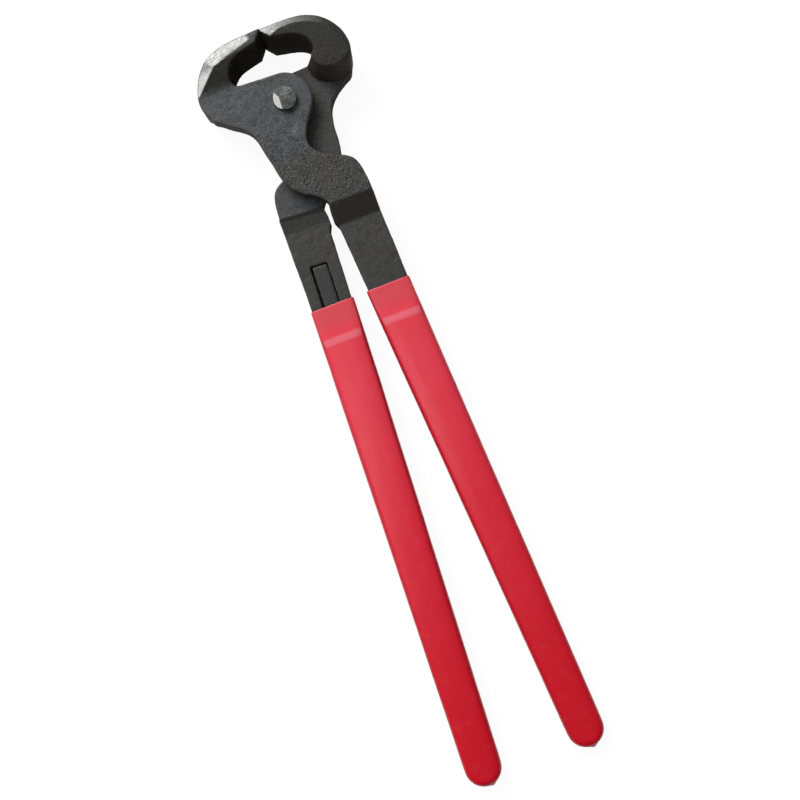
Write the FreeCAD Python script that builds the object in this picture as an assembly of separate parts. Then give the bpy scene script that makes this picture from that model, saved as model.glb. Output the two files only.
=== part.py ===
import FreeCAD, Part
import math
import os
from FreeCAD import Vector

# Farrier's end-cutting nippers, closed and lying flat, in millimetres.
# Two forgings cross in a lap joint at one rivet. The rear one is the front one
# turned half a turn about the tool's long axis, with a slightly slimmer heel.
#
# The pieces are drawn with the rivet at the origin, the lap plane at z = 0 and
# the cutting edges towards +Y. Y distances down the handles are written as
# positive "drops" below the rivet. place() then moves every piece so that the
# origin is the middle of the underside of the whole tool.

# Head
jaw_reach = 32.3          # rivet to the cutting edges
head_width = 73.4         # across two jaws as full as the front one
jaw_width = 31.0          # length of each cutting edge, along the rivet
edge_gap = 0.3            # between the two cutting edges when closed
edge_land = 3.4           # how far the inner bevel of a cutting edge leans back
edge_bevel = 5.1          # how far that bevel runs down from the edge
throat_top = 0.80         # height of the throat's roof beside the back of the jaw, as a part of jaw_reach
throat_half_width = 20.2  # from the tool's axis to the back of the throat
throat_fall = 1.0         # rise of the throat's floor from the boss to the back
jaw_rise_start = 13.0     # rivet to where the lap plate begins to rise to the jaw
jaw_rise_end = 28.0       # rivet to where the jaw has its full width
rim_grind_width = 3.0     # ground chamfer along the outer rim, on the side away from the lap plate
grind_slope = 0.33        # fall of the ground faces for each mm of their width

# Lap joint
lap_thickness = 9.2       # each lap plate
lap_gap = 0.2             # between the two plates
boss_radius = 12.3        # rounded plate round the rivet
neck_half_width = 16.7    # outer edge of the neck
front_heel_fullness = 1.5  # extra metal on the front lever's side, heel and upper neck
rear_jaw_slack = 1.4       # how much slimmer the rear jaw's side is than the front one's
neck_waist = 2.7          # inner edge of the neck, from the axis
step_draft = 0.21         # lean of the forged wall below the jaw, per mm of height
shoulder_drop = 50.0      # rivet to the step where the lap ends
step_rise = 1.3           # how far the step stands above the shank's face

# Rivet
rivet_radius = 4.6
rivet_clearance = 0.05    # in the lever that turns on it
rivet_head_radius = 5.2
rivet_head_height = 3.9
rivet_tail_radius = 6.2
rivet_tail_height = 2.4
head_gap = 0.1            # under the rivet head

# Shanks and handles
shank_thickness = 8.8
shank_half_width = 10.2   # at the top of the shank
shank_half_width_end = 9.4
shank_top_shift = 0.5     # how far the top of the shank lies outside the handle's line
shank_end_drop = 106.0    # rivet to the end of the forging
shank_slope_drop = 10.0   # length of the slope from the lap plate to the shank
handle_offset = 8.8       # handle centreline from the axis, level with the rivet
handle_splay = 2.95       # degrees between a handle and the tool's axis
stop_lug_gap = 1.6        # between the two stop lugs when closed
handle_reach = 326.0      # rivet to the handle ends

# Handle bars
bar_half_width = 9.7
bar_half_width_end = 8.0
bar_thickness = 10.0
bar_thickness_end = 8.6
bar_edge_radius = 3.2
tongue_top_drop = 75.4    # rivet to the end of the tongue
tongue_width = 7.0
tongue_depth = 4.8
slot_side_gap = 0.9       # on the outer side of the tongue
slot_inner_gap = 0.35     # on its inner side
slot_end_gap = 0.6

# Dipped grips
grip_wall = 0.75
grip_top_drop = 94.0      # rivet to the rim

# Beyond every face of the tool, for cutting bodies
beyond = 60.0

half_head = head_width / 2
half_jaw = jaw_width / 2
half_shank = shank_thickness / 2
pivot_y = (handle_reach - jaw_reach) / 2
pivot_z = half_jaw


def spline(points, z=0.0, start=None, end=None):
    """A smooth edge through points, with a tangent at its start and its end if given."""
    curve = Part.BSplineCurve()
    through = [Vector(x, y, z) for x, y in points]
    if start and end:
        curve.interpolate(Points=through, InitialTangent=Vector(*start), FinalTangent=Vector(*end))
    else:
        curve.interpolate(Points=through)
    return curve.toShape()


def line(a, b, z=0.0):
    return Part.makeLine(Vector(a[0], a[1], z), Vector(b[0], b[1], z))


def plan_prism(edges, low, high):
    """A straight-walled block over a closed plan outline."""
    face = Part.Face(Part.Wire(edges))
    face.translate(Vector(0, 0, low))
    return face.extrude(Vector(0, 0, high - low))


def side_prism(points):
    """A block whose outline is a polygon of (y, z) points, right across the tool."""
    corners = [Vector(-2 * half_head, y, z) for y, z in points]
    face = Part.Face(Part.makePolygon(corners + corners[:1]))
    return face.extrude(Vector(4 * half_head, 0, 0))


def offset_points(points, distance):
    """Moves the points of a smooth outline to its left by a distance."""
    curve = Part.BSplineCurve()
    curve.interpolate(Points=[Vector(x, y, 0) for x, y in points])
    moved = []
    for x, y in points:
        tangent = curve.tangent(curve.parameter(Vector(x, y, 0)))[0]
        moved.append((x - tangent.y * distance, y + tangent.x * distance))
    return moved


def handle_x(drop, across=0.0):
    """X of a point beside the right-hand handle's centreline."""
    return handle_offset + drop * math.tan(math.radians(handle_splay)) + across


def turned(shape):
    """The same piece for the rear lever, half a turn about the tool's axis."""
    copy = shape.copy()
    copy.rotate(Vector(0, 0, 0), Vector(0, 1, 0), 180)
    return copy


def jaw_rim(fullness):
    """Outer rim of the head, from the cutting edge round to the heel."""
    rim = [(-0.33 * half_head, 0.997 * jaw_reach), (-0.61 * half_head, 0.952 * jaw_reach),
           (-0.812 * half_head, 0.812 * jaw_reach), (-0.965 * half_head, 0.53 * jaw_reach)]
    return [(x - fullness * share, y) for (x, y), share in zip(rim, (0.0, 0.0, 0.25, 0.45))]


def lever_outline(fullness):
    """Plan of one forging: left jaw, lap plate, neck and right shank."""
    tip = (-edge_gap / 2, jaw_reach)
    lap_corner = (1.4, -shoulder_drop - 0.6)
    side = [(-half_head, 0.32 * jaw_reach), (-0.97 * half_head, 0.195 * jaw_reach),
            (-0.894 * half_head, 0.08 * jaw_reach)]
    slack = rear_jaw_slack * (1 - fullness / front_heel_fullness)
    side = [(x + slack * share - 0.35 * fullness, y) for (x, y), share in zip(side, (0.5, 0.85, 0.95))]
    heel = [(-0.766 * half_head, -0.012 * shoulder_drop), (-0.575 * half_head, -0.116 * shoulder_drop),
            (-1.144 * neck_half_width, -0.166 * shoulder_drop), (-1.054 * neck_half_width, -0.252 * shoulder_drop),
            (-neck_half_width, -0.354 * shoulder_drop)]
    heel = [(x - 0.55 * (fullness - slack * share), y - 0.75 * (fullness - slack * share))
            for (x, y), share in zip(heel, (0.7, 0.4, 0.2, 0.0, 0.0))]
    outer = spline(
        [tip] + jaw_rim(fullness) + side + heel + [
            (-0.98 * neck_half_width, -0.474 * shoulder_drop), (-0.93 * neck_half_width, -0.566 * shoulder_drop),
            (-0.86 * neck_half_width, -0.66 * shoulder_drop), (-0.73 * neck_half_width, -0.76 * shoulder_drop),
            (-0.42 * neck_half_width, -0.864 * shoulder_drop), (-0.09 * neck_half_width, -0.937 * shoulder_drop),
            lap_corner])

    # Inner side of the shank, with the stop lug just below the lap
    lug_top = (stop_lug_gap / 2, -1.1 * shoulder_drop)
    lug_low = (stop_lug_gap / 2, -1.18 * shoulder_drop)
    shank_top_drop = 1.25 * shoulder_drop
    inner_top = (handle_x(shank_top_drop, shank_top_shift - shank_half_width), -shank_top_drop)
    inner_end = (handle_x(shank_end_drop, -shank_half_width_end), -shank_end_drop)
    outer_end = (handle_x(shank_end_drop, shank_half_width_end), -shank_end_drop)
    outer_top = (handle_x(shank_top_drop, shank_top_shift + shank_half_width), -shank_top_drop)

    # Outer side: shoulder, neck and the round boss about the rivet
    boss_angle = math.radians(-30)
    boss_low = (boss_radius * math.cos(boss_angle), boss_radius * math.sin(boss_angle))
    boss_side = (boss_radius * math.cos(math.radians(35)), boss_radius * math.sin(math.radians(35)))
    boss_top = (0.0, boss_radius)
    shank_out = handle_x(shoulder_drop, shank_half_width)
    shoulder = spline(
        [outer_top, (1.04 * shank_out, -0.98 * shoulder_drop), (1.022 * shank_out, -0.88 * shoulder_drop),
         (0.985 * shank_out, -0.784 * shoulder_drop), (0.9 * shank_out, -0.708 * shoulder_drop),
         (0.72 * shank_out, -0.654 * shoulder_drop), (0.45 * shank_out, -0.6 * shoulder_drop),
         (1.95 * neck_waist, -0.54 * shoulder_drop), (1.15 * neck_waist, -0.47 * shoulder_drop),
         (neck_waist, -0.40 * shoulder_drop), (1.5 * neck_waist, -0.324 * shoulder_drop),
         (0.22 * boss_radius + 1.5 * neck_waist, -0.234 * shoulder_drop), boss_low],
        start=(-0.0515, 1), end=(-math.sin(boss_angle), math.cos(boss_angle)))
    boss = Part.Arc(Vector(*boss_low, 0), Vector(*boss_side, 0), Vector(*boss_top, 0)).toShape()

    # Throat: floor on the lap plate, back and roof inside the jaw, then the edge's inner bevel
    throat_corner = (-0.84 * throat_half_width, boss_radius + throat_fall)
    roof_end = (-edge_gap / 2 - edge_land, jaw_reach - edge_bevel)
    roof_side = throat_top * jaw_reach - 2.1
    throat = spline([throat_corner, (-throat_half_width, 0.5 * jaw_reach),
                     (-0.95 * throat_half_width, 0.64 * jaw_reach),
                     (-0.79 * throat_half_width, roof_side), (-0.5 * throat_half_width, throat_top * jaw_reach),
                     roof_end])
    return [outer, line(lap_corner, lug_top), line(lug_top, lug_low), line(lug_low, inner_top),
            line(inner_top, inner_end), line(inner_end, outer_end), line(outer_end, outer_top),
            shoulder, boss, line(boss_top, throat_corner), throat, line(roof_end, tip)]


def lap_recess():
    """Room for the other lever's plate: all below the lap plane between jaw and shank."""
    depth = half_jaw + 1.0
    foot = [(-0.74, 0.60), (-0.755, 0.33), (-0.84, 0.19), (-1.0, 0.11), (-1.22, 0.06), (-1.5, 0.07),
            (-1.9, 0.19)]
    wall = [(throat_half_width * x, jaw_reach * y) for x, y in foot]
    wires = []
    for z in (lap_gap / 2, -depth):
        lean = step_draft * (lap_gap / 2 - z)
        top = offset_points(wall, -lean)
        left, right = top[-1][0], 2 * half_head
        # The lap ends in a step, which runs slightly askew across the shank
        low_left = (left, -shoulder_drop - 0.1 * half_head - lean)
        low_right = (right, -shoulder_drop + 0.165 * half_head - lean)
        corner = (right, top[0][1])
        wires.append(Part.Wire([spline(top, z), line(top[-1], low_left, z), line(low_left, low_right, z),
                                line(low_right, corner, z), line(corner, top[0], z)]))
    return Part.makeLoft(wires, True, True)


def jaw_height(y):
    """Level of the forging's front, which rises smoothly from the lap plate to the jaw's full width."""
    share = (y - jaw_rise_start) / (jaw_rise_end - jaw_rise_start)
    share = min(max(share, 0.0), 1.0)
    return lap_thickness + (half_jaw - lap_thickness) * share * share * (3 - 2 * share)


def above_jaw_rise():
    """All above the lap plate and the smooth rise from it to the jaw's full width."""
    far = -shank_end_drop - beyond
    top = half_jaw + beyond
    length = jaw_rise_end - jaw_rise_start
    places = [jaw_rise_start + length * share for share in (0, 0.25, 0.5, 0.75, 1)]
    rise = Part.BSplineCurve()
    rise.interpolate(Points=[Vector(0, y, jaw_height(y)) for y in places],
                     InitialTangent=Vector(0, 1, 0), FinalTangent=Vector(0, 1, 0))
    around = Part.makePolygon([Vector(0, jaw_rise_end, half_jaw), Vector(0, jaw_rise_end, top),
                               Vector(0, far, top), Vector(0, far, lap_thickness),
                               Vector(0, jaw_rise_start, lap_thickness)])
    face = Part.Face(Part.Wire([rise.toShape()] + around.Edges))
    face.translate(Vector(far, 0, 0))
    return face.extrude(Vector(-2 * far, 0, 0))


def above_shank():
    """All above the slope from the lap plate down to the shank, and above the shank."""
    slope_top = shoulder_drop + 1.5
    top = half_jaw + beyond
    return side_prism([(-slope_top, top), (-slope_top, lap_thickness),
                       (-slope_top - shank_slope_drop, half_shank),
                       (-shank_end_drop - beyond, half_shank), (-shank_end_drop - beyond, top)])


def below_shank():
    """All below the shank, whose underside is slightly proud beside the step."""
    crest = half_shank + step_rise
    return side_prism([(-0.9 * shoulder_drop, -crest), (-1.02 * shoulder_drop, -crest),
                       (-1.15 * shoulder_drop, -half_shank), (-shank_end_drop - beyond, -half_shank),
                       (-shank_end_drop - beyond, -half_jaw - beyond), (-0.9 * shoulder_drop, -half_jaw - beyond)])


def ground_flat(start, end):
    """What one flat pass of the grinder takes off the front of the jaw, outside a line on it."""
    run = Vector(end[0] - start[0], end[1] - start[1], 0)
    climb = (jaw_height(end[1]) - jaw_height(start[1])) / run.Length
    block = Part.makeBox(4 * half_head, beyond, beyond, Vector(-2 * half_head, 0, 0))
    block.rotate(Vector(0, 0, 0), Vector(1, 0, 0), -math.degrees(math.atan(grind_slope)))
    block.rotate(Vector(0, 0, 0), Vector(0, 1, 0), -math.degrees(math.atan(climb)))
    block.rotate(Vector(0, 0, 0), Vector(0, 0, 1), math.degrees(math.atan2(run.y, run.x)))
    block.translate(Vector(start[0], start[1], jaw_height(start[1])))
    return block


def rim_chamfer(fullness):
    """What the grinder takes off the head's outer rim on the other side."""
    start = (0.1 * half_head, jaw_reach)
    run_out = (-1.06 * half_head, 0.2 * jaw_reach)
    rim = [start] + jaw_rim(fullness) + [run_out]
    fall = rim_grind_width * grind_slope
    wires = []
    for inward in (-rim_grind_width, 2 * rim_grind_width):
        z = half_jaw - fall + inward * grind_slope
        edge = offset_points(rim, inward)
        far_left = (-half_head - beyond, edge[-1][1])
        far_top = (-half_head - beyond, jaw_reach + beyond)
        near_top = (edge[0][0], jaw_reach + beyond)
        wires.append(Part.Wire([spline(edge, z), line(edge[-1], far_left, z), line(far_left, far_top, z),
                                line(far_top, near_top, z), line(near_top, edge[0], z)]))
    return Part.makeLoft(wires, True, True).mirror(Vector(0, 0, 0), Vector(0, 0, 1))


def tongue_slot():
    """Open-faced slot in the shank's underside for the handle bar's tongue."""
    centre = handle_x(0)
    width = tongue_width + slot_side_gap + slot_inner_gap
    length = shank_end_drop - tongue_top_drop + slot_end_gap
    block = Part.makeBox(width, length + beyond, tongue_depth + beyond)
    block.translate(Vector(centre - tongue_width / 2 - slot_inner_gap, -shank_end_drop - beyond,
                           -half_shank - beyond))
    block.rotate(Vector(centre, 0, 0), Vector(0, 0, 1), handle_splay)
    return block


def lever(fullness=0.0):
    """One forging, as it lies in front."""
    body = plan_prism(lever_outline(fullness), -half_jaw, half_jaw)
    for tool in (above_jaw_rise(), above_shank(), lap_recess(), below_shank(), rim_chamfer(fullness),
                 tongue_slot()):
        body = body.cut(tool)
    # Two flat passes meet behind the widest part of the ground face
    heel_end = (-0.935 * half_head, 0.50 * jaw_reach)
    bend = (-0.68 * half_head, 0.737 * jaw_reach)
    tip_end = (-0.22 * half_head, 0.885 * jaw_reach)
    return body.cut(ground_flat(heel_end, bend)).cut(ground_flat(bend, tip_end))


def bored(shape, radius):
    hole = Part.makeCylinder(radius, 4 * half_jaw, Vector(0, 0, -2 * half_jaw))
    return shape.cut(hole)


def pivot_rivet():
    """Pin with a low head in front, its tail spread over the rear lever."""
    pin_low = -lap_thickness
    pin = Part.makeCylinder(rivet_radius, 2 * lap_thickness + head_gap, Vector(0, 0, pin_low))
    head_low = lap_thickness + head_gap
    head = Part.makeCylinder(rivet_head_radius, rivet_head_height, Vector(0, 0, head_low))
    top = head_low + rivet_head_height
    rim = [edge for edge in head.Edges if abs(edge.CenterOfMass.z - top) < 0.01 and edge.Closed]
    head = head.makeChamfer(0.12 * rivet_head_radius, rim)
    # One side of the head is struck off in a slanting flat
    flat = Part.makeBox(4 * rivet_head_radius, 4 * rivet_head_radius, 2 * rivet_head_height)
    flat.translate(Vector(-4 * rivet_head_radius, -2 * rivet_head_radius, 0))
    flat.rotate(Vector(0, 0, 0), Vector(0, 1, 0), -30)
    flat.rotate(Vector(0, 0, 0), Vector(0, 0, 1), 10)
    flat.translate(Vector(-0.5 * rivet_head_radius, 0, top))
    head = head.cut(flat)
    tail = Part.makeCylinder(rivet_tail_radius, rivet_tail_height, Vector(0, 0, pin_low - rivet_tail_height))
    low_rim = [edge for edge in tail.Edges if abs(edge.CenterOfMass.z - pin_low + rivet_tail_height) < 0.01
               and edge.Closed]
    tail = tail.makeFillet(0.6 * rivet_tail_height, low_rim)
    return pin.fuse([head, tail]).removeSplitter()


def bar_body(start_drop, grow):
    """Tapering round-ended handle bar, grown outwards on every side by grow."""
    straight_end = handle_reach - grip_wall - bar_half_width_end
    wide = bar_half_width + grow
    narrow = bar_half_width_end + grow
    length = (straight_end - start_drop) / math.cos(math.radians(handle_splay))
    left, right = (-narrow, -length), (narrow, -length)
    end = Part.Arc(Vector(*left, 0), Vector(0, -length - narrow, 0), Vector(*right, 0)).toShape()
    edges = [line((-wide, 0), left), end, line(right, (wide, 0)), line((wide, 0), (-wide, 0))]
    thick = bar_thickness / 2 + grow
    thin = bar_thickness_end / 2 + grow
    tall = 2 * bar_thickness
    body = plan_prism(edges, -tall, tall)
    total = length + narrow
    for side in (1, -1):
        corners = [(1, thick * side), (-total - 1, thin * side), (-total - 1, 2 * tall * side),
                   (1, 2 * tall * side)]
        body = body.cut(side_prism(corners))
    long_edges = [edge for edge in body.Edges
                  if edge.BoundBox.YLength > 0.5 * narrow
                  and edge.BoundBox.ZLength < 0.5 * (thick - thin) + 1]
    body = body.makeFillet(bar_edge_radius + grow, long_edges)
    body.rotate(Vector(0, 0, 0), Vector(0, 0, 1), handle_splay)
    body.translate(Vector(handle_x(start_drop), -start_drop, 0))
    return body


def handle_bar():
    """Bar under the grip, with the tongue that is let into the shank and welded."""
    bar = bar_body(shank_end_drop, 0)
    centre = handle_x(0)
    tongue = Part.makeBox(tongue_width, shank_end_drop - tongue_top_drop + bar_half_width, tongue_depth)
    tongue.translate(Vector(centre - tongue_width / 2, -shank_end_drop - bar_half_width, -half_shank))
    tongue.rotate(Vector(centre, 0, 0), Vector(0, 0, 1), handle_splay)
    # The bar's end is trimmed square with the forging that it butts against
    trim = Part.makeBox(4 * half_head, beyond, 4 * half_jaw)
    trim.translate(Vector(-2 * half_head, -shank_end_drop, -2 * half_jaw))
    return bar.cut(trim).fuse(tongue).removeSplitter()


def grip(inner_pieces):
    """Dipped coating over the end of the shank and the whole bar."""
    collar_end = shank_end_drop + 1.0
    wide = shank_half_width_end + grip_wall
    corners = [(handle_x(grip_top_drop, -wide), -grip_top_drop), (handle_x(collar_end, -wide), -collar_end),
               (handle_x(collar_end, wide), -collar_end), (handle_x(grip_top_drop, wide), -grip_top_drop)]
    edges = [line(corners[i], corners[(i + 1) % 4]) for i in range(4)]
    collar = plan_prism(edges, -half_shank - grip_wall, half_shank + grip_wall)
    sides = [edge for edge in collar.Edges if edge.BoundBox.YLength > 5]
    collar = collar.makeFillet(1.2, sides)
    coat = collar.fuse(bar_body(shank_end_drop, grip_wall))
    for piece in inner_pieces:
        coat = coat.cut(piece)
    return coat.removeSplitter()


front_forging = lever(front_heel_fullness)
rear_forging = lever()
# The rivet is not quite midway between the two jaws' sides
head = Part.makeCompound([front_forging, turned(rear_forging)]).optimalBoundingBox(False)
pivot_x = -(head.XMin + head.XMax) / 2


def place(shape):
    copy = shape.copy()
    copy.translate(Vector(pivot_x, pivot_y, pivot_z))
    return copy


bar = handle_bar()
coating = grip([rear_forging, bar])
pieces = {
    "front_lever": bored(front_forging, rivet_radius + rivet_clearance),
    "rear_lever": bored(turned(rear_forging), rivet_radius),
    "pivot_rivet": pivot_rivet(),
    "front_handle_bar": bar,
    "rear_handle_bar": turned(bar),
    "front_grip": coating,
    "rear_grip": turned(coating),
}

os.makedirs("parts", exist_ok=True)
for name, shape in pieces.items():
    placed = place(shape)
    placed.exportStep("parts/" + name + ".step")
    print(name, "solids", len(placed.Solids), "valid", placed.isValid(), "volume", round(placed.Volume, 1))
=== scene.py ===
import math

import bpy
import numpy as np
from mathutils import Matrix, Vector


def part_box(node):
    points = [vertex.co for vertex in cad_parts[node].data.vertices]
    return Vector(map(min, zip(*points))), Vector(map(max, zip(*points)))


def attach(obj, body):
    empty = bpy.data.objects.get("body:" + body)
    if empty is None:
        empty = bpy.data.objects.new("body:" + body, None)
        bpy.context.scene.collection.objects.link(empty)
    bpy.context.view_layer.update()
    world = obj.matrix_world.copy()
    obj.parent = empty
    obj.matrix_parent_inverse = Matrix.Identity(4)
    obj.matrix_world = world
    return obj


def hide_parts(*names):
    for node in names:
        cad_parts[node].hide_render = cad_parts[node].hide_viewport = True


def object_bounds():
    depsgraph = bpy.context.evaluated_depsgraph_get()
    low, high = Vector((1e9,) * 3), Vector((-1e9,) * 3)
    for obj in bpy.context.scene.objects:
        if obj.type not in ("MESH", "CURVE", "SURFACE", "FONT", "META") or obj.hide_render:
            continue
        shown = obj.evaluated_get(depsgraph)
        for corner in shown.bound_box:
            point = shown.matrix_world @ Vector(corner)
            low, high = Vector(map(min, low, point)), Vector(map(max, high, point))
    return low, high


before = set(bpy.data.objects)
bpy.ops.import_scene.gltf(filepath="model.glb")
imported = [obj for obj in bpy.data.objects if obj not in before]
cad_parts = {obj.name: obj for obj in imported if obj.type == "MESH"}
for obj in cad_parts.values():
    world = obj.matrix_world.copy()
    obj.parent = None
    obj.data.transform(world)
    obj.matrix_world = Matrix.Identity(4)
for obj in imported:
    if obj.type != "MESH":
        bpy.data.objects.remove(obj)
cadLow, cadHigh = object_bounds()
print("frame loaded,", len(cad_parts), "nodes")

mm = 0.001
rivetLow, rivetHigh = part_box("pivot_rivet")
pivot = Vector(((rivetLow.x + rivetHigh.x) / 2, (rivetLow.y + rivetHigh.y) / 2, (cadLow.z + cadHigh.z) / 2))
handle = {"offset": 8.8, "splay": 2.95, "reach": 326.0}  # the right-hand handle's line, mm and degrees


def select(piece):
    bpy.ops.object.select_all(action="DESELECT")
    piece.select_set(True)
    bpy.context.view_layer.objects.active = piece


def editMode(piece, kind="FACE"):
    select(piece)
    bpy.ops.object.mode_set(mode="EDIT")
    bpy.ops.mesh.select_mode(type=kind)
    bpy.ops.mesh.select_all(action="DESELECT")


def objectMode():
    bpy.ops.object.mode_set(mode="OBJECT")


# Selects the faces whose centre and normal pass a test
def pickFaces(piece, wanted):
    objectMode()
    for face in piece.data.polygons:
        face.select = bool(wanted(face.center, face.normal))
    bpy.ops.object.mode_set(mode="EDIT")


def applyModifier(piece, kind, **settings):
    select(piece)
    modifier = piece.modifiers.new(kind.title(), kind)
    for name, value in settings.items():
        setattr(modifier, name, value)
    bpy.ops.object.modifier_apply(modifier=modifier.name)


def smoothstep(low, high, value):
    t = np.clip((value - low) / (high - low), 0.0, 1.0)
    return t * t * (3 - 2 * t)


# 1 at the middle of a spot, given as x, y and radius, and fading out around it
def nearSpot(x, y, spot):
    return np.exp(-(np.hypot(x - spot[0], y - spot[1]) / spot[2]) ** 2)


def readVertices(piece, name):
    values = np.empty(len(piece.data.vertices) * 3)
    piece.data.vertices.foreach_get(name, values)
    return values.reshape(-1, 3)


# Vertex places in mm about the rivet, turned into the front lever's frame for side -1
def vertexPlaces(piece, side):
    return (readVertices(piece, "co") - np.array(pivot)) / mm * (side, 1, side)


def vertexNormals(piece, side):
    return readVertices(piece, "normal") * (side, 1, side)


def moveVertices(piece, places, side):
    co = places * (side, 1, side) * mm + np.array(pivot)
    piece.data.vertices.foreach_set("co", co.ravel())
    piece.data.update()


def paint(piece, name, values):
    attribute = piece.data.attributes.new(name, "FLOAT", "POINT")
    attribute.data.foreach_set("value", np.asarray(values, np.float32))


def weigh(piece, name, weights, steps=16):
    group = piece.vertex_groups.new(name=name)
    level = np.rint(np.clip(weights, 0, 1) * steps).astype(int)
    for step in range(1, steps + 1):
        group.add(np.flatnonzero(level == step).tolist(), step / steps, "REPLACE")


# How far each vertex stands out from its neighbours, above 0 on outer edges
def curvature(piece):
    co = readVertices(piece, "co")
    normals = readVertices(piece, "normal")
    pairs = np.empty(len(piece.data.edges) * 2, int)
    piece.data.edges.foreach_get("vertices", pairs)
    a, b = pairs.reshape(-1, 2).T
    along = co[b] - co[a]
    along /= np.linalg.norm(along, axis=1)[:, None] + 1e-12
    count = np.bincount(a, minlength=len(co)) + np.bincount(b, minlength=len(co))
    atStart = np.bincount(a, -(along * normals[a]).sum(1), len(co))
    atEnd = np.bincount(b, (along * normals[b]).sum(1), len(co))
    bent = (atStart + atEnd) / np.maximum(count, 1)
    for _ in range(2):
        near = np.bincount(a, bent[b], len(co)) + np.bincount(b, bent[a], len(co))
        bent = 0.5 * bent + 0.5 * near / np.maximum(count, 1)
    return bent


def clouds(name, size):
    texture = bpy.data.textures.new(name, "CLOUDS")
    texture.noise_scale = size * mm
    texture.noise_depth = 2
    return texture


# A value is either a number or colour, or another node's output
def giveInput(tree, node, name, value):
    if isinstance(value, bpy.types.NodeSocket):
        tree.links.new(value, node.inputs[name])
    else:
        node.inputs[name].default_value = value


def addNode(tree, kind, inputs=None, **settings):
    made = tree.nodes.new(kind)
    for name, value in settings.items():
        setattr(made, name, value)
    for name, value in (inputs or {}).items():
        giveInput(tree, made, name, value)
    return made


def mixColours(tree, factor, a, b):
    made = addNode(tree, "ShaderNodeMix", {0: factor, 6: a, 7: b}, data_type="RGBA")
    return made.outputs[2]


def math2(tree, operation, a, b=0.0, clamp=False):
    made = addNode(tree, "ShaderNodeMath", {0: a, 1: b}, operation=operation, use_clamp=clamp)
    return made.outputs[0]


def times(tree, a, b):
    return math2(tree, "MULTIPLY", a, b)


def mapRange(tree, value, low, high, toLow=0.0, toHigh=1.0):
    made = addNode(tree, "ShaderNodeMapRange", {"Value": value, "From Min": low, "From Max": high,
                                               "To Min": toLow, "To Max": toHigh})
    made.interpolation_type = "SMOOTHSTEP"
    return made.outputs[0]


# A group that turns a place and a few numbers into a mask
def newGroup(name, numbers):
    tree = bpy.data.node_groups.new(name, "ShaderNodeTree")
    tree.interface.new_socket("Place", in_out="INPUT", socket_type="NodeSocketVector")
    for label, value in numbers.items():
        socket = tree.interface.new_socket(label, in_out="INPUT", socket_type="NodeSocketFloat")
        socket.default_value = value
    tree.interface.new_socket("Mask", in_out="OUTPUT", socket_type="NodeSocketFloat")
    return tree, tree.nodes.new("NodeGroupInput").outputs, tree.nodes.new("NodeGroupOutput").inputs


def makeMottle():
    tree, given, out = newGroup("mottle", {"Size": 1.0, "Low": 0.35, "High": 0.65})
    scale = math2(tree, "DIVIDE", 1.0, given["Size"])
    noise = addNode(tree, "ShaderNodeTexNoise", {"Vector": given["Place"], "Scale": scale, "Detail": 4.0,
                                                 "Roughness": 0.6})
    tree.links.new(mapRange(tree, noise.outputs[0], given["Low"], given["High"]), out["Mask"])
    return tree


def makePits():
    tree, given, out = newGroup("pits", {"Size": 1.0, "Spread": 0.3})
    scale = math2(tree, "DIVIDE", 1.0, given["Size"])
    bent = addNode(tree, "ShaderNodeTexNoise", {"Vector": given["Place"], "Scale": scale, "Detail": 2.0})
    place = addNode(tree, "ShaderNodeMix", {0: 0.35, 4: given["Place"], 5: bent.outputs[1]},
                    data_type="VECTOR")
    cells = addNode(tree, "ShaderNodeTexVoronoi", {"Vector": place.outputs[1], "Scale": scale})
    tree.links.new(mapRange(tree, cells.outputs[0], given["Spread"], 0.0), out["Mask"])
    return tree


def makeEdgeWear():
    tree, given, out = newGroup("edgeWear", {"Edge": 0.0, "Amount": 0.5})
    broken = addNode(tree, "ShaderNodeTexNoise", {"Vector": given["Place"], "Scale": 0.6, "Detail": 5.0,
                                                  "Roughness": 0.7})
    spread = mapRange(tree, broken.outputs[0], 0.35, 0.7, 0.15, 1.0)
    edge = mapRange(tree, given["Edge"], 0.03, 0.16)
    worn = times(tree, edge, spread)
    tree.links.new(math2(tree, "MULTIPLY", worn, given["Amount"], True), out["Mask"])
    return tree


def makeGrindMarks():
    tree, given, out = newGroup("grindMarks", {"Turn": 0.0})
    turned = addNode(tree, "ShaderNodeVectorRotate", {"Vector": given["Place"], "Angle": given["Turn"]},
                     rotation_type="Z_AXIS")
    drawn = addNode(tree, "ShaderNodeMapping", {"Vector": turned.outputs[0], "Scale": (3.2, 0.35, 3.2)})
    lines = addNode(tree, "ShaderNodeTexNoise", {"Vector": drawn.outputs[0], "Scale": 1.0, "Detail": 4.0,
                                                 "Roughness": 0.65})
    tree.links.new(mapRange(tree, lines.outputs[0], 0.3, 0.72), out["Mask"])
    return tree


mottle = makeMottle()
pits = makePits()
edgeWear = makeEdgeWear()
grindMarks = makeGrindMarks()


def useGroup(tree, group, **inputs):
    made = addNode(tree, "ShaderNodeGroup", node_tree=group)
    for name, value in inputs.items():
        giveInput(tree, made, name, value)
    return made.outputs[0]


def newMaterial(name):
    made = bpy.data.materials.new(name)
    made.use_nodes = True
    tree = made.node_tree
    shader = tree.nodes["Principled BSDF"]
    coordinates = addNode(tree, "ShaderNodeTexCoord")
    place = addNode(tree, "ShaderNodeMapping", {"Vector": coordinates.outputs["Object"],
                                               "Scale": (1000.0, 1000.0, 1000.0)})
    return made, tree, shader, place.outputs[0]


def readMask(tree, name):
    return addNode(tree, "ShaderNodeAttribute", attribute_name=name).outputs["Fac"]


# The relief's depth is in mm
def bump(tree, shader, height, depth, strength=1.0):
    made = addNode(tree, "ShaderNodeBump", {"Height": height, "Distance": depth * mm, "Strength": strength})
    tree.links.new(made.outputs[0], shader.inputs["Normal"])


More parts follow.
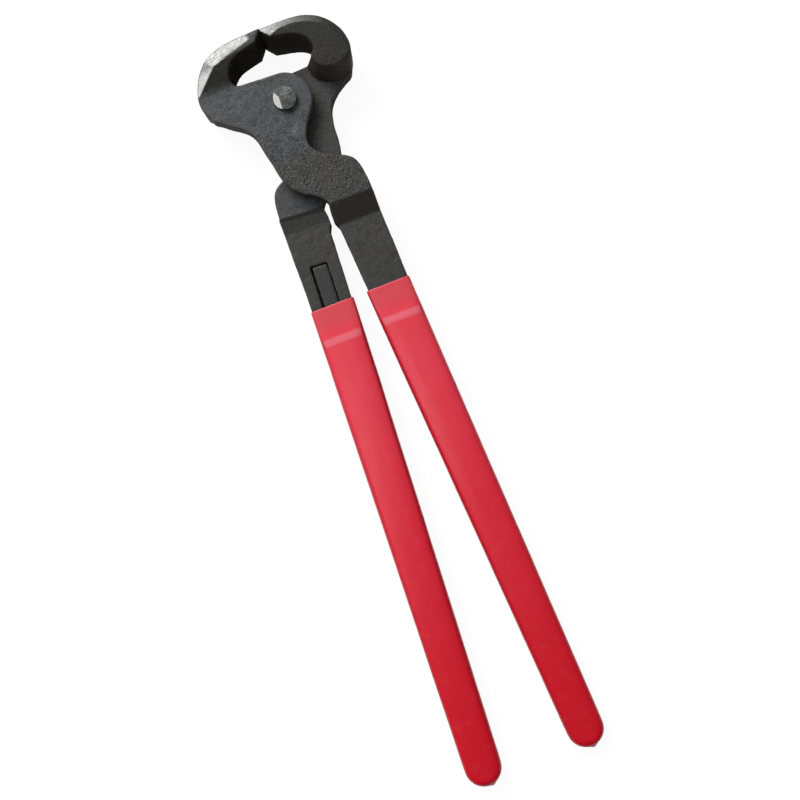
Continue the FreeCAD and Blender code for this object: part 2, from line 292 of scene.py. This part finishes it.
forgedLook = {
    "brownGrey": (0.0195, 0.0183, 0.0165, 1), "greyScale": (0.0175, 0.0178, 0.0175, 1),
    "blueSheen": (0.030, 0.0345, 0.039, 1), "dark": (0.006, 0.0055, 0.005, 1),
    "brown": (0.021, 0.0145, 0.0088, 1), "worn": (0.075, 0.075, 0.07, 1), "speck": (0.22, 0.225, 0.21, 1),
    "ground": (0.31, 0.315, 0.31, 1), "groundDark": (0.17, 0.17, 0.165, 1),
    "groundStain": (0.10, 0.095, 0.08, 1), "polished": (0.72, 0.72, 0.71, 1),
    # how strongly each mark shows, from 0 to 1
    "patches": 0.4, "grain": 0.45, "pits": 0.85, "flecks": 0.5, "wear": 0.4, "stains": 0.6, "polish": 0.42,
    "gloss": 0.32,
}


def makeForgedSteel(look):
    made, tree, shader, place = newMaterial("forgedSteel")
    names = ("ground", "worn", "wall", "rough", "scale", "paintedShadeDark", "polish")
    ground, worn, wall, rough, scale, paintedShadeDark, polish = (readMask(tree, name) for name in names)
    broad = useGroup(tree, mottle, Place=place, Size=14.0, Low=0.38, High=0.62)
    patches = useGroup(tree, mottle, Place=place, Size=3.2, Low=0.42, High=0.66)
    grain = useGroup(tree, mottle, Place=place, Size=0.8, Low=0.32, High=0.68)
    pitted = useGroup(tree, pits, Place=place, Size=1.5, Spread=0.42)
    colour = mixColours(tree, broad, look["brownGrey"], look["greyScale"])
    # Painted blue-grey reflection, strongest over the lap plate and broken up by the patches
    thick = times(tree, scale, mapRange(tree, patches, 0.0, 1.0, 1.0, 0.55))
    colour = mixColours(tree, thick, colour, look["blueSheen"])
    colour = mixColours(tree, times(tree, patches, look["patches"]), colour, look["dark"])
    colour = mixColours(tree, times(tree, grain, look["grain"]), colour, look["dark"])
    # Painted shade: steep walls and rounded edges turn darker brown
    colour = mixColours(tree, wall, colour, look["brown"])
    pitMask = times(tree, pitted, rough)
    colour = mixColours(tree, times(tree, pitMask, look["pits"]), colour, look["dark"])
    flecks = useGroup(tree, mottle, Place=place, Size=0.7, Low=0.58, High=0.7)
    fleckMask = times(tree, flecks, times(tree, rough, look["flecks"]))
    colour = mixColours(tree, fleckMask, colour, look["speck"])
    rubbed = useGroup(tree, edgeWear, Place=place, Edge=worn, Amount=look["wear"])
    colour = mixColours(tree, rubbed, colour, look["worn"])
    # Painted shade along the step's crest and sloping face; the back faces are darker too
    colour = mixColours(tree, paintedShadeDark, colour, look["dark"])
    # Grinding marks run across the bevel, with stains where the wheel skipped
    marks = useGroup(tree, grindMarks, Place=place, Turn=1.1)
    stains = useGroup(tree, mottle, Place=place, Size=2.4, Low=0.52, High=0.72)
    steel = mixColours(tree, marks, look["groundDark"], look["ground"])
    steel = mixColours(tree, times(tree, stains, look["stains"]), steel, look["groundStain"])
    steel = mixColours(tree, times(tree, polish, look["polish"]), steel, look["polished"])
    ragged = useGroup(tree, mottle, Place=place, Size=1.2, Low=0.25, High=0.75)
    bright = times(tree, ground, mapRange(tree, ragged, 0.0, 1.0, 0.8, 1.0))
    tree.links.new(mixColours(tree, bright, colour, steel), shader.inputs["Base Color"])
    tree.links.new(mapRange(tree, bright, 0.0, 1.0, 0.1, 0.75), shader.inputs["Metallic"])
    shader.inputs["Specular IOR Level"].default_value = look["gloss"]
    scaleRough = mapRange(tree, grain, 0.0, 1.0, 0.46, 0.62)
    groundRough = mapRange(tree, marks, 0.0, 1.0, 0.62, 0.48)
    roughness = addNode(tree, "ShaderNodeMix", {0: bright, 2: scaleRough, 3: groundRough}, data_type="FLOAT")
    # The walls and the places painted with shade are matt
    shadedMatt = math2(tree, "ADD", wall, times(tree, paintedShadeDark, 2.0), True)
    matt = times(tree, shadedMatt, mapRange(tree, bright, 0.0, 1.0, 0.45, 0.0))
    tree.links.new(math2(tree, "ADD", roughness.outputs[0], matt, True), shader.inputs["Roughness"])
    relief = math2(tree, "ADD", times(tree, grain, 0.5), times(tree, patches, 0.7))
    relief = times(tree, relief, mapRange(tree, rough, 0.0, 1.0, 0.35, 1.2))
    relief = math2(tree, "SUBTRACT", relief, times(tree, pitMask, 2.0))
    bump(tree, shader, relief, 0.14, 0.8)
    return made


forgedSteel = makeForgedSteel(forgedLook)

# Places are in mm from the rivet, in the front lever's frame; a spot is x, y and radius
forging = {
    "voxel": 0.42,                 # mesh size
    "rounding": 3,                 # smoothing passes over the forged edges
    "heelRounding": 70,            # and over the heel's corner behind the plate
    "heel": (-36.5, 5.5, 5.0),
    "notch": (-33.3, 2.3, 2.4),    # beside that corner
    "notchFill": (0.7, 0.6),       # how far it is filled, outwards and down
    "swell": 0.36, "swellSize": 13.0,       # broad unevenness of the forged faces
    "hammering": 0.20, "hammerSize": 3.0,   # finer unevenness
    "lapTop": 22.0, "boreRadius": 6.2,      # the lap face and the bore are machined
    "edgeReach": 0.6,              # how far the cutting edge is brought forward to meet the other one
    # the two grinding flats in front meet at the middle corner
    "flats": [(-34.3, 16.2), (-25.0, 23.8), (-8.0, 28.6)],
    # inner limit of the ground rim on the other side
    "rim": [(-30.0, 23.0), (-25.0, 26.0), (-20.0, 28.2), (-15.0, 29.3), (-10.0, 29.3), (-8.0, 28.9),
            (-5.0, 27.9), (-3.5, 27.0), (0.0, 30.6)],
}
forgedMarks = {
    "tipFade": (-7.0, -4.6),       # bright steel stops short of the tip on the flats
    "rimFade": [(-29.0, 0.0), (-25.0, 0.16), (-20.0, 0.32), (-14.0, 0.55), (-10.0, 0.75), (-4.0, 1.0)],
    "crest": (-51.6, 0.087, 1.1),  # painted shade line along the step's crest: level at the axis, slope and width
    "bruise": (0.0, -15.0, 2.0),   # a bright spot below the rivet
    "step": (-50.5, -52.0, -60.5, -62.5),   # painted shade on the step's sloping face, from where it sets in to where it ends
    "shoulder": (-52.0, -50.5, -30.0),      # painted blue-grey reflection on the shoulder above the crest
    "plateSheen": (17.0, 12.0, -12.0, -34.0),   # painted blue-grey reflection on the plate, fading out at both ends
    "pitting": (-6.0, -20.0, -50.0, -54.0),     # and so does the pitting
    "wallShare": 0.95, "stepShare": 0.6, "backShare": 0.32, "shoulderShare": 0.85, "roughShare": 0.12,
}


def copyNode(node, name, voxel):
    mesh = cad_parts[node].data.copy()
    mesh.materials.clear()
    piece = bpy.data.objects.new(name, mesh)
    bpy.context.scene.collection.objects.link(piece)
    editMode(piece, "VERT")
    bpy.ops.mesh.select_all(action="SELECT")
    bpy.ops.mesh.remove_doubles(threshold=0.001 * mm)
    objectMode()
    applyModifier(piece, "REMESH", mode="VOXEL", voxel_size=voxel * mm, use_smooth_shade=True)
    return piece


# Where a vertex lies on the two flats in front, and on the ground rim behind, from 0 to 1
def groundFaces(x, y, z, nz):
    heelEnd, bend, tipEnd = forging["flats"]
    outside = np.full(len(x), -99.0)
    for a, b in ((heelEnd, bend), (bend, tipEnd)):
        length = math.hypot(b[0] - a[0], b[1] - a[1])
        outside = np.maximum(outside, ((y - a[1]) * (b[0] - a[0]) - (x - a[0]) * (b[1] - a[1])) / length)
    level = smoothstep(0.72, 0.86, np.abs(nz))
    flat = smoothstep(-0.2, 0.25, outside) * level * (z > 6)
    limitX, limitY = np.array(forging["rim"]).T
    rim = smoothstep(-0.2, 0.25, y - np.interp(x, limitX, limitY)) * level * (z < -12.5) * (y > 15)
    return flat, rim


# Rounds and dents the forging, and gives its vertex places
def forgeLever(piece, turn):
    x, y, z = vertexPlaces(piece, turn).T
    flat, rim = groundFaces(x, y, z, vertexNormals(piece, turn)[:, 2])
    lapFace = (np.abs(z) < 0.6) & (y < forging["lapTop"])
    bore = np.hypot(x, y) < forging["boreRadius"]
    tip = smoothstep(-5, -3, x) * (y > 23)
    firm = np.clip(flat + rim + lapFace + bore + tip, 0, 1)
    weigh(piece, "rounded", 1 - 0.85 * firm)
    weigh(piece, "uneven", 1 - firm)
    weigh(piece, "heel", nearSpot(x, y, forging["heel"]) * (z < 5))
    for group, passes in (("rounded", forging["rounding"]), ("heel", forging["heelRounding"])):
        applyModifier(piece, "SMOOTH", factor=0.5, iterations=passes, vertex_group=group)
    for name, size, height in (("forgeSwell", forging["swellSize"], forging["swell"]),
                               ("hammerMarks", forging["hammerSize"], forging["hammering"])):
        applyModifier(piece, "DISPLACE", texture=clouds(name, size), texture_coords="LOCAL",
                      strength=height * mm, mid_level=0.5, vertex_group="uneven")
    places = vertexPlaces(piece, turn)
    # The cutting edge closes up against the other one
    edge = smoothstep(-3.5, -0.6, places[:, 0]) * smoothstep(26.0, 29.0, places[:, 1])
    places[:, 0] += forging["edgeReach"] * edge
    # The plate's edge runs round smoothly into the heel
    fill = nearSpot(places[:, 0], places[:, 1], forging["notch"]) * (places[:, 2] > -1.5)
    places[:, :2] -= np.outer(fill, forging["notchFill"])
    moveVertices(piece, places, turn)
    return places


# Paints the masks that the forged steel reads
def markLever(piece, turn, places):
    marks = forgedMarks
    x, y, z = places.T
    nz = vertexNormals(piece, turn)[:, 2]
    front = (z > 5) * (nz > 0.5)
    flat, rim = groundFaces(x, y, z, nz)
    flat = flat * (1 - smoothstep(*marks["tipFade"], x + 0.3 * (y - 30)))
    rim = rim * np.interp(x, *np.array(marks["rimFade"]).T)
    paint(piece, "ground", np.maximum(flat, rim))
    bendY = forging["flats"][1][1]
    paint(piece, "polish", smoothstep(bendY + 1.5, bendY - 2.5, y) * (z > 5))
    # The step: painted shade on its crest and sloping face, and painted blue-grey reflection on the shoulder
    # above it
    crestY, crestSlope, crestWidth = marks["crest"]
    crest = np.exp(-((y - crestY - crestSlope * x) / crestWidth) ** 2) * (z < 1) * (np.abs(nz) > 0.02)
    top, full, fading, foot = marks["step"]
    slope = marks["stepShare"] * smoothstep(top, full, y) * smoothstep(foot, fading, y) * (z > 3.5)
    low, level, high = marks["shoulder"]
    shoulder = marks["shoulderShare"] * smoothstep(low, level, y) * (y < high)
    shoulder = shoulder * (np.abs(z) < 1.5) * (nz < -0.8)
    bruise = nearSpot(x, y, marks["bruise"]) * front
    paint(piece, "worn", np.maximum(curvature(piece) * (1 - crest), bruise))
    back = marks["backShare"] * (z < -12) * (nz < -0.5)
    # Painted shade along the crest and on the step's sloping face, and darker back faces
    paint(piece, "paintedShadeDark", np.max([crest, back, 0.4 * slope], axis=0))
    # Painted shade: steep walls and rounded edges are marked to turn darker brown, with the crest and the
    # step's face
    wall = marks["wallShare"] * (1 - smoothstep(0.5, 0.9, np.abs(nz)))
    paint(piece, "wall", np.max([wall, crest, slope], axis=0))
    # Painted blue-grey reflection over the plate, fading at both ends, and over the shoulder
    top, full, fading, foot = marks["plateSheen"]
    plate = smoothstep(top, full, y) * smoothstep(foot, fading, y) * front
    paint(piece, "scale", np.maximum(plate, shoulder))
    top, full, fading, foot = marks["pitting"]
    pitting = smoothstep(top, full, y) * smoothstep(foot, fading, y) * front
    paint(piece, "rough", np.clip(pitting + marks["roughShare"], 0, 1) + 0.9 * bruise)


def makeLever(node, name, turn):
    piece = copyNode(node, name, forging["voxel"])
    places = forgeLever(piece, turn)
    markLever(piece, turn, places)
    piece.data.materials.append(forgedSteel)
    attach(piece, "front_half" if turn > 0 else "rear_half")
    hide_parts(node)
    print(name, "made,", len(piece.data.polygons), "faces")


makeLever("front_lever", "frontLever", 1)
makeLever("rear_lever", "rearLever", -1)


rivet = {
    "pinRadius": 4.6, "pinLow": -9.2, "pinTop": 9.35,
    "headRadius": 5.2, "headHeight": 3.85, "headBevel": 0.55,
    "tailRadius": 6.2, "tailHeight": 2.4, "tailBevel": 1.4,
    # the head's flats: a place on it, in head radii from its top, and the way the flat faces
    "flats": [((-0.46, 0.05, 0.0), (-0.60, -0.11, 1.0)), ((0.35, -0.2, -0.12), (0.10, -0.16, 1.0)),
              ((0.2, 0.55, -0.1), (0.06, 0.17, 1.0))],
}
rivetLook = {"green": (0.065, 0.075, 0.07, 1), "dark": (0.02, 0.022, 0.02, 1),
             "facetDark": (0.5, 0.5, 0.49, 1), "facet": (0.85, 0.85, 0.84, 1)}


def makeRivetSteel(look):
    made, tree, shader, place = newMaterial("rivetSteel")
    broad = useGroup(tree, mottle, Place=place, Size=2.5, Low=0.4, High=0.62)
    grain = useGroup(tree, mottle, Place=place, Size=0.6, Low=0.35, High=0.65)
    colour = mixColours(tree, broad, look["dark"], look["green"])
    colour = mixColours(tree, times(tree, grain, 0.3), colour, look["dark"])
    tree.links.new(colour, shader.inputs["Base Color"])
    shader.inputs["Metallic"].default_value = 0.35
    tree.links.new(mapRange(tree, grain, 0.0, 1.0, 0.38, 0.55), shader.inputs["Roughness"])
    bump(tree, shader, grain, 0.06)
    return made


def makeFacetSteel(look):
    made, tree, shader, place = newMaterial("facetSteel")
    marks = useGroup(tree, grindMarks, Place=place, Turn=0.3)
    tree.links.new(mixColours(tree, marks, look["facetDark"], look["facet"]), shader.inputs["Base Color"])
    shader.inputs["Metallic"].default_value = 1.0
    tree.links.new(mapRange(tree, marks, 0.0, 1.0, 0.42, 0.3), shader.inputs["Roughness"])
    bump(tree, shader, marks, 0.02)
    return made


def makeRivet(size):
    pinHeight = size["pinTop"] - size["pinLow"]
    middle = pivot + Vector((0, 0, (size["pinTop"] + size["pinLow"]) / 2 * mm))
    bpy.ops.object.select_all(action="DESELECT")
    bpy.ops.mesh.primitive_cylinder_add(vertices=96, radius=size["pinRadius"] * mm, depth=pinHeight * mm,
                                        location=middle)
    piece = bpy.context.object
    piece.name = "pivotRivet"
    bpy.ops.object.transform_apply(location=True)
    top = pivot.z + size["pinTop"] * mm
    low = pivot.z + size["pinLow"] * mm
    # Head and tail grow out of the pin's two ends
    for level, radius, height in ((top, size["headRadius"], size["headHeight"]),
                                  (low, size["tailRadius"], -size["tailHeight"])):
        editMode(piece)
        pickFaces(piece, lambda c, n: abs(c.z - level) < 0.01 * mm and abs(n.z) > 0.9)
        bpy.ops.mesh.extrude_region_move()
        wider = radius / size["pinRadius"]
        bpy.ops.transform.resize(value=(wider, wider, 1), center_override=(pivot.x, pivot.y, level))
        bpy.ops.mesh.extrude_region_move(TRANSFORM_OT_translate={"value": (0, 0, height * mm)})
        objectMode()
    headTop = top + size["headHeight"] * mm
    tailLow = low - size["tailHeight"] * mm
    for level, width in ((headTop, size["headBevel"]), (tailLow, size["tailBevel"])):
        editMode(piece)
        pickFaces(piece, lambda c, n: abs(c.z - level) < 0.01 * mm and abs(n.z) > 0.9)
        bpy.ops.mesh.bevel(offset=width * mm, segments=4, affect="EDGES")
        objectMode()
    # The head is struck into a few shallow flats, the one on its left ground bright
    for place, normal in size["flats"]:
        editMode(piece)
        bpy.ops.mesh.select_all(action="SELECT")
        at = Vector((pivot.x, pivot.y, headTop)) + Vector(place) * size["headRadius"] * mm
        bpy.ops.mesh.bisect(plane_co=at, plane_no=normal, use_fill=True, clear_outer=True,
                            threshold=0.0001 * mm)
        objectMode()
    piece.data.materials.append(makeRivetSteel(rivetLook))
    piece.data.materials.append(makeFacetSteel(rivetLook))
    for face in piece.data.polygons:
        if face.normal.x < -0.35 and face.normal.z > 0.7 and face.area > (1.0 * mm) ** 2:
            face.material_index = 1
    select(piece)
    bpy.ops.object.shade_smooth_by_angle(angle=math.radians(25))
    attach(piece, "rear_half")
    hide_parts("pivot_rivet")
    print("pivotRivet made,", len(piece.data.polygons), "faces")


makeRivet(rivet)


bar = {
    "voxel": 0.5,      # mesh size, mm
    "rounding": 4,     # smoothing passes over its edges
}
barLook = {"grey": (0.013, 0.0135, 0.013, 1), "dark": (0.009, 0.009, 0.0085, 1),
           "worn": (0.05, 0.05, 0.048, 1), "gloss": 0.3}


def makeBarSteel(look):
    made, tree, shader, place = newMaterial("barSteel")
    worn = readMask(tree, "worn")
    broad = useGroup(tree, mottle, Place=place, Size=6.0, Low=0.35, High=0.65)
    grain = useGroup(tree, mottle, Place=place, Size=0.9, Low=0.3, High=0.7)
    colour = mixColours(tree, times(tree, broad, 0.5), look["grey"], look["dark"])
    colour = mixColours(tree, times(tree, grain, 0.25), colour, look["dark"])
    rubbed = useGroup(tree, edgeWear, Place=place, Edge=worn, Amount=0.5)
    colour = mixColours(tree, rubbed, colour, look["worn"])
    tree.links.new(colour, shader.inputs["Base Color"])
    shader.inputs["Specular IOR Level"].default_value = look["gloss"]
    tree.links.new(mapRange(tree, grain, 0.0, 1.0, 0.5, 0.65), shader.inputs["Roughness"])
    bump(tree, shader, grain, 0.06)
    return made


barSteel = makeBarSteel(barLook)


def makeBar(node, name, side):
    piece = copyNode(node, name, bar["voxel"])
    applyModifier(piece, "SMOOTH", factor=0.5, iterations=bar["rounding"])
    paint(piece, "worn", curvature(piece))
    piece.data.materials.append(barSteel)
    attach(piece, "front_half" if side > 0 else "rear_half")
    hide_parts(node)
    print(name, "made,", len(piece.data.polygons), "faces")


makeBar("front_handle_bar", "frontHandleBar", 1)
makeBar("rear_handle_bar", "rearHandleBar", -1)


grip = {
    "around": 64,          # edges round the section
    # each section's distance below the rivet, half width, half thickness and squareness
    "sections": [(94.0, 9.95, 4.75, 7.0), (94.0, 10.24, 4.98, 7.0), (94.35, 10.42, 5.14, 7.0),
                 (95.2, 10.46, 5.2, 7.0), (97.0, 10.42, 5.15, 7.0), (100.5, 10.4, 5.15, 6.5),
                 (104.5, 10.38, 5.18, 6.0), (107.0, 10.4, 5.32, 5.0), (109.5, 10.42, 5.58, 4.0),
                 (112.0, 10.42, 5.72, 3.5), (117.0, 10.38, 5.74, 3.3), (150.0, 10.12, 5.63, 3.2),
                 (200.0, 9.72, 5.47, 3.2), (250.0, 9.3, 5.31, 3.2), (290.0, 8.97, 5.17, 3.2),
                 (312.0, 8.8, 5.1, 3.1)],
    "endRadius": 8.75, "endThickness": 5.08, "endRounding": 3.9,
    "rimLevel": (97.0, 116.0),              # from a rim level across the tool to square with the handle
    "dripLength": 1.3, "dripWidth": 1.7,    # a last drop of vinyl set at the end
    "ripple": 0.22, "rippleSize": 16.0,
    "wall": 0.42,
}
vinylLook = {
    "red": (0.485, 0.017, 0.035, 1), "deep": (0.41, 0.001, 0.009, 1), "sheenAndScuff": (0.50, 0.05, 0.072, 1),
    "shadedFlank": (0.33, 0.0, 0.006, 1), "rimShade": (0.385, 0.045, 0.055, 1), "highlightBand": (0.50, 0.12, 0.15, 1),
    # how strongly each one shows, from 0 to 1
    "clouding": 0.2, "sheenShare": 0.35, "scuffs": 0.1, "rimShare": 0.55, "highlightBandShare": 0.6, "flankShadeShare": 0.8,
    # heights on the tool, in mm above its middle
    "redFrom": -190.0, "redTo": 30.0, "sheenFrom": -60.0, "sheenTo": 40.0,
    "thinFrom": 40.0, "thinTo": 46.0, "highlightBandLow": (34.2, 36.2), "highlightBandHigh": (39.2, 37.6),
    "gloss": 0.22,
}


def makeGripVinyl(look):
    made, tree, shader, place = newMaterial("gripVinyl")
    shadedFlank = readMask(tree, "shadedFlank")
    broad = useGroup(tree, mottle, Place=place, Size=22.0, Low=0.35, High=0.65)
    scuffs = useGroup(tree, mottle, Place=place, Size=5.0, Low=0.5, High=0.75)
    peel = useGroup(tree, mottle, Place=place, Size=2.2, Low=0.2, High=0.8)
    along = addNode(tree, "ShaderNodeSeparateXYZ", {"Vector": place}).outputs[1]
    # Painted shade: the red darkens towards the handle ends
    litUpper = mapRange(tree, along, look["redFrom"], look["redTo"])
    colour = mixColours(tree, litUpper, look["deep"], look["red"])
    colour = mixColours(tree, times(tree, broad, look["clouding"]), colour, look["deep"])
    # A painted sheen lightens the red towards the rim
    sheenHigh = mapRange(tree, along, look["sheenFrom"], look["sheenTo"])
    colour = mixColours(tree, times(tree, sheenHigh, look["sheenShare"]), colour, look["sheenAndScuff"])
    colour = mixColours(tree, times(tree, scuffs, look["scuffs"]), colour, look["sheenAndScuff"])
    # The dip is thin and duller between the rim and the bar's end
    thin = mapRange(tree, along, look["thinFrom"], look["thinTo"])
    colour = mixColours(tree, times(tree, thin, look["rimShare"]), colour, look["rimShade"])
    # A painted highlight across the flat where it swells over the bar's end
    highlightBand = times(tree, mapRange(tree, along, *look["highlightBandLow"]), mapRange(tree, along, *look["highlightBandHigh"]))
    highlightBand = times(tree, highlightBand, mapRange(tree, shadedFlank, 0.0, 0.3, look["highlightBandShare"], 0.0))
    colour = mixColours(tree, highlightBand, colour, look["highlightBand"])
    # Painted shade makes the rounded sides the deepest red
    colour = mixColours(tree, times(tree, shadedFlank, look["flankShadeShare"]), colour, look["shadedFlank"])
    tree.links.new(colour, shader.inputs["Base Color"])
    shader.inputs["Specular IOR Level"].default_value = look["gloss"]
    tree.links.new(mapRange(tree, scuffs, 0.0, 1.0, 0.28, 0.4), shader.inputs["Roughness"])
    bump(tree, shader, peel, 0.05, 0.6)
    return made


gripVinyl = makeGripVinyl(vinylLook)


# The coating's sections from the rim down to the rounded end
def gripSections(size):
    slant = math.cos(math.radians(handle["splay"]))
    sections = [(drop / slant, wide, thick, square) for drop, wide, thick, square in size["sections"]]
    tip = handle["reach"] / slant
    radius, thick, rounding = size["endRadius"], size["endThickness"], size["endRounding"]
    for turn in (0, 15, 28, 40, 50, 59, 67, 74, 80, 85, 88.5):
        angle = math.radians(turn)
        short = radius * (1 - math.sin(angle))
        dip = rounding - math.sqrt(max(rounding ** 2 - max(rounding - short, 0) ** 2, 0))
        sections.append((tip - short, radius * math.cos(angle), thick - dip, 3.1 - 0.9 * turn / 90))
    return sections


# One edge loop for each section, each one extruded from the last, closed at the end
def extrudeSections(name, sections):
    bpy.ops.object.select_all(action="DESELECT")
    bpy.ops.mesh.primitive_circle_add(vertices=grip["around"], radius=1 * mm, fill_type="NOTHING",
                                      rotation=(math.pi / 2, 0, 0))
    piece = bpy.context.object
    piece.name = name
    bpy.ops.object.transform_apply(rotation=True)
    editMode(piece, "VERT")
    bpy.ops.mesh.select_all(action="SELECT")
    drop, wide, thick, _ = sections[0]
    bpy.ops.transform.resize(value=(wide, 1, thick))
    bpy.ops.transform.translate(value=(0, -drop * mm, 0))
    for nextDrop, nextWide, nextThick, _ in sections[1:]:
        bpy.ops.mesh.extrude_region_move(TRANSFORM_OT_translate={"value": (0, (drop - nextDrop) * mm, 0)})
        bpy.ops.transform.resize(value=(nextWide / wide, 1, nextThick / thick),
                                 center_override=(0, -nextDrop * mm, 0))
        drop, wide, thick = nextDrop, nextWide, nextThick
    bpy.ops.mesh.edge_face_add()
    bpy.ops.mesh.poke()
    objectMode()
    return piece


# Each loop goes from an ellipse to a squarer shape, and the rim is cut level
def squareSections(piece, sections, splay):
    count = grip["around"]
    for index, (drop, wide, thick, square) in enumerate(sections):
        level = 1 - float(smoothstep(*grip["rimLevel"], drop))
        for vertex in piece.data.vertices[index * count:(index + 1) * count]:
            angle = math.atan2(vertex.co.z / thick, vertex.co.x / wide)
            across, up = math.cos(angle), math.sin(angle)
            vertex.co.x = math.copysign(abs(across) ** (2 / square), across) * wide * mm
            vertex.co.z = math.copysign(abs(up) ** (2 / square), up) * thick * mm
            vertex.co.y -= vertex.co.x * math.tan(splay) * level


# The drop hangs at the tip, a little to one side
def addDrip(piece, splay, drip):
    tip = handle["reach"] / math.cos(splay)
    for vertex in piece.data.vertices:
        away = math.hypot(vertex.co.x / mm - drip, (vertex.co.y / mm + tip) * 0.7, vertex.co.z / mm * 0.8)
        vertex.co.y -= grip["dripLength"] * mm * math.exp(-(away / grip["dripWidth"]) ** 2)


def makeGrip(name, node, side, drip):
    sections = gripSections(grip)
    splay = math.radians(handle["splay"])
    piece = extrudeSections(name, sections)
    squareSections(piece, sections, splay)
    addDrip(piece, splay, drip)
    piece.data.transform(Matrix.Rotation(splay, 4, "Z"))
    piece.data.transform(Matrix.Translation((handle["offset"] * mm, 0, 0)))
    if side < 0:
        piece.data.transform(Matrix.Rotation(math.pi, 4, "Y"))
    piece.data.transform(Matrix.Translation(pivot))
    editMode(piece)
    bpy.ops.mesh.select_all(action="SELECT")
    bpy.ops.mesh.normals_make_consistent(inside=False)
    objectMode()
    applyModifier(piece, "SUBSURF", levels=2, render_levels=2)
    applyModifier(piece, "DISPLACE", texture=clouds("dipRipple", grip["rippleSize"]), texture_coords="LOCAL",
                  strength=grip["ripple"] * mm, mid_level=0.5)
    applyModifier(piece, "SOLIDIFY", thickness=grip["wall"] * mm, offset=-1.0, use_rim=True)
    select(piece)
    bpy.ops.object.shade_smooth()
    piece.data.materials.append(gripVinyl)
    # Painted shade mask on the rounded sides, read by the vinyl
    paint(piece, "shadedFlank", 1 - smoothstep(0.6, 0.93, np.abs(vertexNormals(piece, side)[:, 2])))
    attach(piece, "front_half" if side > 0 else "rear_half")
    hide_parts(node)
    print(name, "made,", len(piece.data.polygons), "faces")


makeGrip("frontGrip", "front_grip", 1, 0.6)
makeGrip("rearGrip", "rear_grip", -1, -2.2)


studio = {
    "floorTilt": 1.83,                      # the tool leans on its jaws and its handle ends
    "floorPlace": (0, 0.158, -0.0002),      # where the jaws touch it
    "floorTone": (0.9, 0.9, 0.895, 1), "floorGlow": 0.93,
    "skyFrom": (-0.12, 0.8, 0.55), "skyDim": 0.06, "skyBright": 0.85,   # the room is brighter beyond the jaws
    "keyPlace": (-0.225, 0.775, 0.75), "keyAim": (0, 0.05, 0), "keySize": (0.55, 0.55), "keyPower": 13.5,
    "sidePlace": (-0.42, -0.05, 0.72), "sideAim": (0, -0.02, 0), "sideSize": (0.07, 0.9), "sidePower": 1.6,
    "cameraFoot": (-0.25, -145.9), "cameraHeight": 546.0, "cameraTurn": -21.0, "lens": 53.3,
}


def makeFloor(values):
    bpy.ops.object.select_all(action="DESELECT")
    bpy.ops.mesh.primitive_plane_add(size=6.0, location=(0, 0, 0))
    floor = bpy.context.object
    floor.name = "floor"
    floor.data.transform(Matrix.Translation(values["floorPlace"])
                         @ Matrix.Rotation(-math.radians(values["floorTilt"]), 4, "X"))
    made = bpy.data.materials.new("paleFloor")
    made.use_nodes = True
    tree = made.node_tree
    shader = tree.nodes["Principled BSDF"]
    shader.inputs["Base Color"].default_value = values["floorTone"]
    shader.inputs["Roughness"].default_value = 0.9
    shader.inputs["Specular IOR Level"].default_value = 0.1
    # The paper is lit from behind as well, so the tool's shadows on it stay faint
    glow = addNode(tree, "ShaderNodeEmission", {"Color": (1, 1, 1, 1), "Strength": 1.0})
    seen = addNode(tree, "ShaderNodeLightPath").outputs["Is Camera Ray"]
    blend = addNode(tree, "ShaderNodeMixShader", {"Fac": times(tree, seen, values["floorGlow"]),
                                                  1: shader.outputs[0], 2: glow.outputs[0]})
    tree.links.new(blend.outputs[0], tree.nodes["Material Output"].inputs["Surface"])
    floor.data.materials.append(made)


def makeLight(name, values):
    data = bpy.data.lights.new(name, "AREA")
    data.shape = "RECTANGLE"
    data.size, data.size_y = values[name + "Size"]
    data.energy = values[name + "Power"]
    light = bpy.data.objects.new(name, data)
    bpy.context.scene.collection.objects.link(light)
    place = Vector(values[name + "Place"])
    light.location = place
    light.rotation_euler = (Vector(values[name + "Aim"]) - place).to_track_quat("-Z", "Y").to_euler()


def makeSky(values):
    world = bpy.data.worlds.new("studio")
    bpy.context.scene.world = world
    world.use_nodes = True
    tree = world.node_tree
    sky = tree.nodes["Background"]
    sky.inputs["Color"].default_value = (1.0, 1.0, 1.0, 1)
    direction = addNode(tree, "ShaderNodeTexCoord").outputs["Generated"]
    toward = addNode(tree, "ShaderNodeVectorMath", operation="DOT_PRODUCT")
    tree.links.new(direction, toward.inputs[0])
    toward.inputs[1].default_value = Vector(values["skyFrom"]).normalized()
    tree.links.new(mapRange(tree, toward.outputs["Value"], -0.5, 0.95, values["skyDim"], values["skyBright"]),
                   sky.inputs["Strength"])


def makeCamera(values):
    scene = bpy.context.scene
    footX, footY = values["cameraFoot"]
    data = bpy.data.cameras.new("camera")
    data.lens = values["lens"]
    data.sensor_width = 36.0
    data.clip_start, data.clip_end = 0.01, 20.0
    camera = bpy.data.objects.new("camera", data)
    scene.collection.objects.link(camera)
    camera.location = pivot + Vector((footX, footY, values["cameraHeight"])) * mm
    camera.rotation_euler = (0, 0, math.radians(values["cameraTurn"]))
    scene.camera = camera
    scene.view_settings.view_transform = "Standard"


makeFloor(studio)
makeSky(studio)
makeLight("key", studio)
makeLight("side", studio)
makeCamera(studio)
print("studio made")
